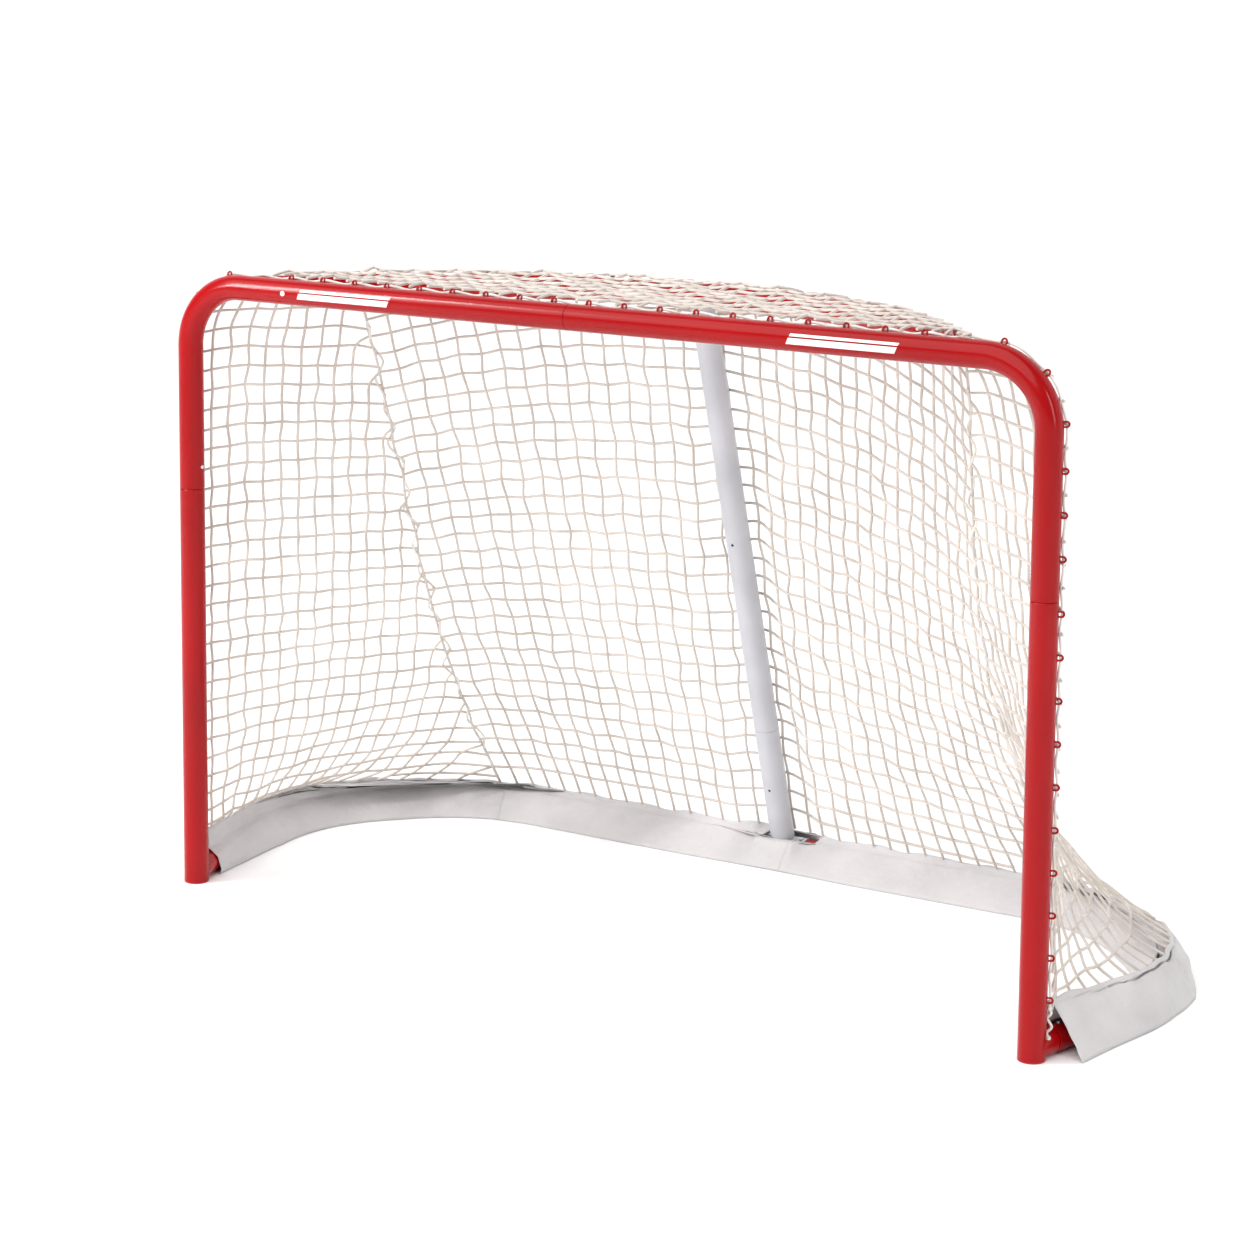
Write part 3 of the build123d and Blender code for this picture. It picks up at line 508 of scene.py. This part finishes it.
columns = []
for k in range(BACK_CELLS + 1):
    share = k / BACK_CELLS
    head = bow_place(head_angle(share), NET_OUT, BAR_Z)
    across_foot = -foot_reach[-1] + (foot_reach[-1] + foot_reach[1]) * share
    side = 1 if across_foot >= 0 else -1
    foot = tie_point(side, HALF_BASE - abs(across_foot))
    columns.append((head, foot))
lead = [0.0] * len(columns)
middle = BACK_CELLS // 2
for step in (1, -1):
    k = middle if step > 0 else middle + 1
    while 0 <= k + step <= BACK_CELLS:
        here, there = columns[k][0], columns[k + step][0]
        run = there - here
        down = ((columns[k][1] - here) + (columns[k + step][1] - there)).normalized()
        lead[k + step] = lead[k] - run.dot(down)
        k += step
lead[middle + 1] = lead[middle]

# The support leans against the net from inside: its axis at the floor, and its lean.
SUPPORT_FOOT_Y, SUPPORT_LEAN = 0.39768, 0.3134
SUPPORT_BACK = Vector((0, 1, SUPPORT_LEAN)).normalized()
SUPPORT_CLEAR = TUBE_R + 0.0045


def near_support(x):
    return exp(-((x / 0.060) ** 4))


def behind_support(point, share):
    reach = (point.y - SUPPORT_FOOT_Y + SUPPORT_LEAN * point.z) * SUPPORT_BACK.y
    held = min(1.0, 20 * share * (1 - share)) if 0 < share < 1 else 0.0
    return SUPPORT_BACK * max(0.0, SUPPORT_CLEAR - reach) * near_support(point.x) * held


def back_point(k, depth):
    head, foot = columns[k]
    share = depth / (foot - head).length
    place = k / BACK_CELLS
    across_share = min(1.0, abs(2 * place - 1))
    sag = BACK_SAG * sin(pi * min(max(share, 0), 1)) * sin(pi * across_share) ** 2
    point = head.lerp(foot, share)
    point += mirrored(seam_sag(-1, share), -1) * (1 - place) ** 3 + seam_sag(1, share) * place**3
    inward = Vector((0, BOW_Y, 0)) - Vector((point.x, point.y, 0))
    loose = min(1.0, 8 * share * (1 - share)) if 0 < share < 1 else 0.0
    point += inward.normalized() * sag + ripple(point, BACK_RIPPLE * loose)
    return point + behind_support(point, share)


back_chains, back_knots = [], []
for k, (head, foot) in enumerate(columns):
    length = (foot - head).length
    depths = [lead[k] + j * MESH for j in range(-ROWS_ABOVE, ROWS_BELOW)]
    inside = [d for d in depths if END_GAP < d < length - END_GAP]
    chain = [back_point(k, d) for d in (0.0, *inside, length)]
    back_chains.append(chain)
    back_knots.extend(chain[1:-1])
for j in range(-ROWS_ABOVE, ROWS_BELOW):
    chain = []
    for k, (head, foot) in enumerate(columns):
        depth = lead[k] + j * MESH
        if END_GAP < depth < (foot - head).length - END_GAP:
            chain.append(back_point(k, depth))
        else:
            if len(chain) > 1:
                back_chains.append(chain)
            chain = []
    if len(chain) > 1:
        back_chains.append(chain)
back = corded("net_back", back_chains, back_knots, net_cord)
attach(back, "frame")
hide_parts("back_net")

# The top: the same columns run forward over the bow to the crossbar.
BAR_BACK = 0.013
TOP_ROWS = 11
TOP_DIP, TOP_WAVE = 0.004, 0.003
TOP_Z = BAR_Z + TUBE_R + CORD_R + 0.004
END_CELLS = 3
top_chains, top_knots = [], []
top_columns = []
for k in range(-END_CELLS, BACK_CELLS + END_CELLS + 1):
    angle = head_angle(k / BACK_CELLS)
    rear = bow_place(angle, 0.006, TOP_Z)
    front = Vector((rear.x * 1.015, LINE_Y + BAR_BACK, TOP_Z - 0.003))
    top_columns.append((front, rear, angle))


def top_point(front, rear, run, length):
    share = run / length
    point = front.lerp(rear, share)
    dip = TOP_DIP * sin(pi * min(max(share, 0), 1)) * min(1.0, length / 0.3)
    wave = 0.5 + 0.5 * sin(23.0 * point.x + 40.0 * point.y)
    point.z += TOP_WAVE * wave - dip
    return point + ripple(point, TOP_WAVE)


for front, rear, angle in top_columns:
    length = (rear - front).length
    inside = [j * MESH for j in range(1, int(length / MESH) + 1) if j * MESH < length - END_GAP]
    chain = [top_point(front, rear, d, length) for d in (0.0, *inside)]
    top_knots.extend(chain[1:])
    for turn in (0.0, 0.5, 1.0, 1.45):
        over = bow_place(angle, NET_OUT * sin(turn), BAR_Z + NET_OUT * cos(turn))
        chain.append(over)
    top_chains.append(chain)
for j in range(1, TOP_ROWS + 1):
    chain = []
    for front, rear, angle in top_columns:
        length = (rear - front).length
        if j * MESH < length - END_GAP:
            chain.append(top_point(front, rear, j * MESH, length))
        elif len(chain) > 1:
            break
    if len(chain) > 1:
        ends = []
        for step, edge in ((-1, chain[0]), (1, chain[-1])):
            angle = atan2(edge.x, edge.y - BOW_Y)
            over = bow_place(angle + step * 0.5 * MESH / BOW_R, TUBE_R * 0.8, TOP_Z - 0.006)
            ends.append(over)
        top_chains.append([ends[0], *chain, ends[1]])
top = corded("net_top", top_chains, top_knots, net_cord)
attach(top, "frame")
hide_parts("top_net")


# The sides: level rows from the post to the seam, and columns that fan out downwards. Each
# panel is ruled from post to seam, and near the floor it flares out to the base rail.
SIDE_FRONT = 0.016
SIDE_OUT = 0.029
FLARE_Z, FLARE_HEIGHT = 0.07, 0.115
SIDE_COLUMNS = 19


def side_front_x(z):
    rise = z - BEND_Z
    if rise <= 0:
        return POST_X + SIDE_OUT
    reach = CORNER_R + SIDE_OUT
    return BEND_X + sqrt(max(0.0, reach**2 - rise**2))


def tied_foot(y):
    """The tied foot of the net at a depth, and its length along the base rail."""
    low_end, high_end = 0.0, HALF_BASE
    for _ in range(24):
        trial = (low_end + high_end) / 2
        if tie_point(1, trial).y < y:
            low_end = trial
        else:
            high_end = trial
    return tie_point(1, low_end), low_end


def column_y(i, z):
    spread = 0.95 - 0.48 * (max(z, 0) / 1.2) ** 1.3
    return LINE_Y + SIDE_FRONT + 0.012 * min(1, i) + i * MESH * spread


def side_point(side, y, z):
    """The panel's surface, as if on the right."""
    seam = seam_point(side, z)
    _, seam_foot = seam_ends(side)
    front_x = side_front_x(z)
    front_y = LINE_Y + SIDE_FRONT
    share = min(max((y - front_y) / (seam.y - front_y), 0), 1)
    foot, _ = tied_foot(front_y + (seam_foot.y - front_y) * share)
    foot_straight = POST_X + SIDE_OUT + (seam_foot.x - POST_X - SIDE_OUT) * share
    flare = (foot.x - foot_straight) * exp(-max(0.0, z - FLARE_Z) / FLARE_HEIGHT)
    return Vector((front_x + (seam.x - front_x) * share + flare, y, z))


side_rows = [BAR_Z - 0.010]
while side_rows[-1] > FLARE_Z:
    lean = 0.18 / FLARE_HEIGHT * exp(-(side_rows[-1] - FLARE_Z) / FLARE_HEIGHT)
    side_rows.append(side_rows[-1] - 0.96 * MESH / sqrt(1 + lean**2))
for side, name in ((-1, "left"), (1, "right")):
    seam_head, seam_foot = seam_ends(side)
    grid = {}
    for i in range(1, SIDE_COLUMNS + 1):
        for j, z in enumerate(side_rows):
            y = column_y(i, z)
            bottom = tie_height(tied_foot(y)[1])
            if z < bottom + 0.012 or y > seam_point(side, z).y - END_GAP:
                continue
            droop = 0.016 * exp(-(i - 0.3) / 1.1)
            point = side_point(side, y, z) - Vector((0, 0, droop))
            loose = 0.0035 * min(1.0, i / 2)
            grid[i, j] = mirrored(point, side) + ripple(point + Vector((side, 0, 0)), loose)
    chains, knots = [], []
    for i in range(1, SIDE_COLUMNS + 1):
        held = [j for j in range(len(side_rows)) if (i, j) in grid]
        if not held:
            continue
        chain = [grid[i, j] for j in held]
        above_z = side_rows[held[0]] + 0.5 * MESH
        if held[0] == 0:
            head = mirrored(side_point(side, column_y(i, BAR_Z), BAR_Z + 0.012), side)
        else:
            head = mirrored(seam_point(side, above_z), side)
        foot, _ = tied_foot(column_y(i, 0.08))
        if foot.y > seam_foot.y:
            foot = seam_foot
        chains.append([head, *chain, mirrored(foot, side)])
    for j, z in enumerate(side_rows):
        cells = [grid[i, j] for i in range(1, SIDE_COLUMNS + 1) if (i, j) in grid]
        knots.extend(cells)
        if not cells:
            continue
        front = mirrored(Vector((side_front_x(z - 0.020), LINE_Y + SIDE_FRONT, z - 0.020)), side)
        if cells[-1].y > seam_point(side, z).y - 1.6 * MESH:
            cells.append(mirrored(seam_point(side, z - 0.006), side))
        if (1, j) in grid:
            cells.insert(0, front)
        if len(cells) > 1:
            chains.append(cells)
    panel = corded(f"net_{name}_side", chains, knots, net_cord)
    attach(panel, "frame")
    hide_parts(f"{name}_side_net")


# ---- Lacing -----------------------------------------------------------------------------
# A thicker white cord is threaded through the eyelets along the posts and the crossbar and
# picks up the net's edge. Two more lace the side panels to the back.

LACE_R = 0.0026
EYELET_PITCH = 0.077
lace_cord, shader = new_material("lace_cord", (0.74, 0.70, 0.66), 0.85)
shader.inputs["Sheen Weight"].default_value = 0.2
tint(lace_cord, shader, object_noise(lace_cord, 20.0, 4.0), (0.62, 0.57, 0.52), (0.80, 0.77, 0.73))
braid = object_noise(lace_cord, 700.0, 2.0, 0.5, (1, 1, 0.5))
bump(lace_cord, shader, braid.outputs["Fac"], 0.001, 0.8)

TURN = radians(20)
edge_points = []


def edge_place(travel):
    """Tube axis and outward direction along the goal's edge, from the left foot."""
    up_post = BEND_Z
    bend = CORNER_R * pi / 2
    bar = 2 * BEND_X
    if travel < up_post:
        return Vector((-POST_X, LINE_Y, travel)), Vector((-1, 0, 0))
    travel -= up_post
    if travel < bend:
        angle = travel / CORNER_R
        out = Vector((-cos(angle), 0, sin(angle)))
        return Vector((-BEND_X, LINE_Y, BEND_Z)) + out * CORNER_R, out
    travel -= bend
    if travel < bar:
        return Vector((-BEND_X + travel, LINE_Y, BAR_Z)), Vector((0, 0, 1))
    travel -= bar
    if travel < bend:
        angle = travel / CORNER_R
        out = Vector((sin(angle), 0, cos(angle)))
        return Vector((BEND_X, LINE_Y, BEND_Z)) + out * CORNER_R, out
    travel -= bend
    return Vector((POST_X, LINE_Y, BEND_Z - travel)), Vector((1, 0, 0))


EDGE_LENGTH = 2 * BEND_Z + pi * CORNER_R + 2 * BEND_X
LACE_START = 0.095
lace_steps = int((EDGE_LENGTH - 2 * LACE_START) / (EYELET_PITCH / 4))
for step in range(lace_steps + 1):
    travel = LACE_START + (EDGE_LENGTH - 2 * LACE_START) * step / lace_steps
    axis, out = edge_place(travel)
    phase = (0.0, 0.5, 1.0, 0.5)[step % 4]
    angle = TURN + 0.34 - 0.26 * phase
    reach = TUBE_R + LACE_R + 0.0006 + 0.0022 * phase
    edge_points.append(axis + (out * cos(angle) + Vector((0, sin(angle), 0))) * reach)
tail = [
    edge_points[-1] + Vector((0.004 * sin(2.1 * k), 0.003 * cos(1.7 * k), -0.009 * k))
    for k in range(1, 7)
]
edge = corded(
    "edge_lacing",
    [edge_points + tail],
    [edge_points[0], edge_points[-1], tail[-1]],
    lace_cord,
    **{"Cord radius": LACE_R, "Knot radius": 0.0052, "Steps": 4, "Sides": 8},
)
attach(edge, "frame")
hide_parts("edge_lacing_cord")

for side, name in ((-1, "left"), (1, "right")):
    points, knots = [], []
    steps = 64
    for step in range(steps + 1):
        share = step / steps
        seam_head, seam_foot = seam_ends(side)
        point = seam_head.lerp(seam_foot, share) + seam_sag(side, share)
        swing = (0.0, 1.0, 0.0, -1.0)[step % 4]
        wander = 0.006 * sin(step * 0.9) + 0.004 * sin(step * 0.37 + side)
        shift = Vector((-0.75, 0.66, 0)) * (0.0075 * swing + wander)
        proud = Vector((0.6, 0.68, 0.3)) * (0.003 * cos(step * 1.7))
        fixed = min(1.0, 6 * share, 6 * (1 - share))
        points.append(mirrored(point + (shift + proud) * fixed, side))
        if step % 8 == 5:
            knots.append(points[-1])
    seam = corded(
        f"{name}_seam_lacing",
        [points],
        knots,
        lace_cord,
        **{"Cord radius": LACE_R, "Knot radius": 0.0048, "Steps": 3, "Sides": 8},
    )
    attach(seam, "frame")
    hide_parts(f"{name}_seam_cord")


# ---- Kick skirt -------------------------------------------------------------------------
# Off-white coated cloth, folded over the base rail like a tent. Its top fold is tied up to
# the net and its two hems lie on the floor. It is cut in four lengths that overlap.

CLOTH_T = 0.0012
SHELF_LEDGE = 2 * TUBE_R + 0.0022
GRID_STEP = 0.008

skirt_cloth, shader = new_material("skirt_cloth", (0.56, 0.54, 0.54), 0.62)
shader.inputs["Sheen Weight"].default_value = 0.12
mottle = object_noise(skirt_cloth, 7.0, 6.0)
tint(skirt_cloth, shader, mottle, (0.50, 0.48, 0.485), (0.60, 0.58, 0.58))
vary_roughness(skirt_cloth, shader, object_noise(skirt_cloth, 30.0), 0.5, 0.72)
place = add_node(skirt_cloth, "ShaderNodeTexCoord")
weaves = []
for direction in ("X", "Z"):
    weave = add_node(
        skirt_cloth,
        "ShaderNodeTexWave",
        {"Scale": 260.0, "Distortion": 1.5, "Detail": 2.0},
        bands_direction=direction,
    )
    link(skirt_cloth, place.outputs["Object"], weave.inputs["Vector"])
    weaves.append(weave)
cross = add_node(skirt_cloth, "ShaderNodeMath", operation="MULTIPLY")
link(skirt_cloth, weaves[0].outputs["Fac"], cross.inputs[0])
link(skirt_cloth, weaves[1].outputs["Fac"], cross.inputs[1])
creases = object_noise(skirt_cloth, 26.0, 5.0, 0.6)
soft = bump(skirt_cloth, shader, creases.outputs["Fac"], 0.010, 0.5)
bump(skirt_cloth, shader, cross.outputs["Value"], 0.0004, 0.5, soft)

# Reach of each hem from the rail's axis, at lengths along the rail from the post.
INNER_HEM = (
    (0.05, 0.026), (0.16, 0.044), (0.30, 0.067), (0.49, 0.070), (0.68, 0.088),
    (0.95, 0.082), (1.20, 0.086), (1.45, 0.090), (1.65, 0.085),
)
OUTER_HEM = (
    (0.03, 0.076), (0.15, 0.062), (0.36, 0.048), (0.46, 0.052), (0.56, 0.040),
    (0.80, 0.044), (1.10, 0.050), (1.65, 0.0545),
)
LEFT_HEM_LIMIT = 0.050
WRAP_TOP = radians(64)
WRAP_R = TUBE_R + 0.0035


def hem_reach(table, along):
    return float(np.interp(along, *zip(*table)))


def skirt_profile(along, side):
    """Corner points across the rail from the inner hem to the outer hem: (out, up)."""
    place, _ = base_place(along)
    by_support = near_support(place.x)
    tie = tie_height(along) + 0.001
    fold = tie_offset(place.x)
    ledge_out = -0.012 - 0.030 * by_support
    ledge_up = SHELF_LEDGE + 0.003 * by_support
    collar_front = min(fold - 0.0035, -0.0065) if by_support < 0.2 else fold - 0.0035
    hem = hem_reach(INNER_HEM, along)
    outer_hem = hem_reach(OUTER_HEM, along)
    if side < 0:
        outer_hem = min(outer_hem, LEFT_HEM_LIMIT)
    drop = TUBE_R - CLOTH_T
    tangent = acos(min(1.0, WRAP_R / hypot(hem, drop))) - atan2(drop, hem)
    wrap = [(-hem, CLOTH_T)]
    for k in range(3):
        angle = tangent + (WRAP_TOP - tangent) * k / 2
        wrap.append((-WRAP_R * cos(angle), TUBE_R + WRAP_R * sin(angle)))
    if by_support > 0.05:
        blend = min(1.0, by_support * 1.5)
        straight = [(-hem, CLOTH_T)]
        for share in (0.7, 0.85, 1.0):
            straight.append(
                (-hem + (hem + ledge_out) * share, CLOTH_T + (ledge_up - CLOTH_T) * share)
            )
        wrap = [
            (a[0] + (b[0] - a[0]) * blend, a[1] + (b[1] - a[1]) * blend)
            for a, b in zip(wrap, straight)
        ]
    return [
        *wrap,
        (collar_front, ledge_up + 0.003),
        (fold - 0.0015, tie),
        (fold + 0.002, tie + 0.0005),
        (max(0.010, fold + 0.006), tie - 0.012),
        (outer_hem, CLOTH_T),
    ]


PROFILE_SPLIT = (9, 3, 3, 4, 5, 2, 5, 14)  # cells in each part of the profile


def skirt_piece(name, side, start, end, lift=0.0):
    """One length of skirt. start and end give a rail length for each share of the width."""
    across_shares = []
    for part, count in enumerate(PROFILE_SPLIT):
        across_shares.extend(part + k / count for k in range(count))
    across_shares.append(len(PROFILE_SPLIT))
    steps = int((end(0.0) - start(0.0)) / GRID_STEP)
    points, faces = [], []
    for step in range(steps + 1):
        for share in across_shares:
            along = start(share) + (end(share) - start(share)) * step / steps
            place, out = base_place(along)
            profile = skirt_profile(along, side)
            part = min(int(share), len(profile) - 2)
            blend = share - part
            (a_out, a_up), (b_out, b_up) = profile[part], profile[part + 1]
            reach = a_out + (b_out - a_out) * blend
            up = a_up + (b_up - a_up) * blend
            belly = sin(pi * blend)
            seed = 3.0 * side
            slow = sin(9.0 * along + seed) + 0.6 * sin(23.0 * along + 2.0 * seed + 1.0)
            quick = sin(61.0 * along + 200.0 * up + seed) * sin(17.0 * along + seed)
            if part == 0:
                reach += (0.0014 * slow - 0.0022) * belly + 0.0006 * quick * belly - lift
                reach += 0.0015 * sin(7.0 * along + seed) * (1 - blend)
            elif part in (1, 2):
                reach -= lift
            elif part in (3, 4):
                up += 0.0014 * quick
                reach += 0.0018 * quick * (part - 3 + blend) / 2
            elif part in (5, 6):
                up += 0.0022 * quick + 0.0018 * sin(47.0 * along + seed)
                reach += 0.0012 * sin(83.0 * along + seed)
            else:
                crumple = sin(31.0 * along + 90.0 * up + seed) * sin(53.0 * along - 60.0 * up)
                reach += (0.0025 * slow + 0.0030) * belly * (1 - 0.4 * blend)
                reach += (0.0014 * quick + 0.0022 * crumple) * belly
                rise = min(abs(up - TUBE_R), WRAP_R)
                reach = max(reach, sqrt(WRAP_R**2 - rise**2))
            point = place + out * reach
            point.z = max(up, CLOTH_T * 0.6)
            points.append(mirrored(point, side))
    width = len(across_shares)
    for step in range(steps):
        for k in range(width - 1):
            a = step * width + k
            face = (a, a + 1, a + 1 + width, a + width)
            faces.append(face if side < 0 else face[::-1])
    made = mesh_object(name, points, faces)
    for polygon in made.data.polygons:
        polygon.use_smooth = True
    made.data.materials.append(skirt_cloth)
    thick = made.modifiers.new("thickness", "SOLIDIFY")
    thick.thickness = CLOTH_T
    thick.offset = 0.0
    return made


COLLAR_FROM, COLLAR_TO = 3.0, 6.6
FOLD_PART = 5.0
SPLIT_OUT = RUN + REAR_R * (SIDE_SPLAY + radians(12))


def side_start(share):
    return 0.045 + 0.012 * min(1.0, abs(share - FOLD_PART) / FOLD_PART)


def seam_along(share):
    return SKIRT_SEAM + 0.006 - 0.034 * min(share, FOLD_PART) / FOLD_PART


def side_end(share):
    return seam_along(share) + 0.004 if share < COLLAR_TO else SPLIT_OUT + 0.010


def rear_start(share):
    return seam_along(share) if share < COLLAR_TO else SPLIT_OUT


def rear_end(side, share):
    if COLLAR_FROM <= share < COLLAR_TO:
        clear = 0.034 if side < 0 else 0.078 + 0.006 * (share - COLLAR_FROM)
        return HALF_BASE - clear
    return HALF_BASE + 0.085 if side < 0 else HALF_BASE - 0.032


for side, name in ((-1, "left"), (1, "right")):
    sheet = skirt_piece(f"{name}_side_skirt", side, side_start, side_end)
    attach(sheet, "frame")
    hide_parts(f"{name}_skirt")
    end = partial(rear_end, side)
    sheet = skirt_piece(f"{name}_rear_skirt_cloth", side, rear_start, end, 0.0025)
    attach(sheet, "frame")
    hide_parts(f"{name}_rear_skirt")
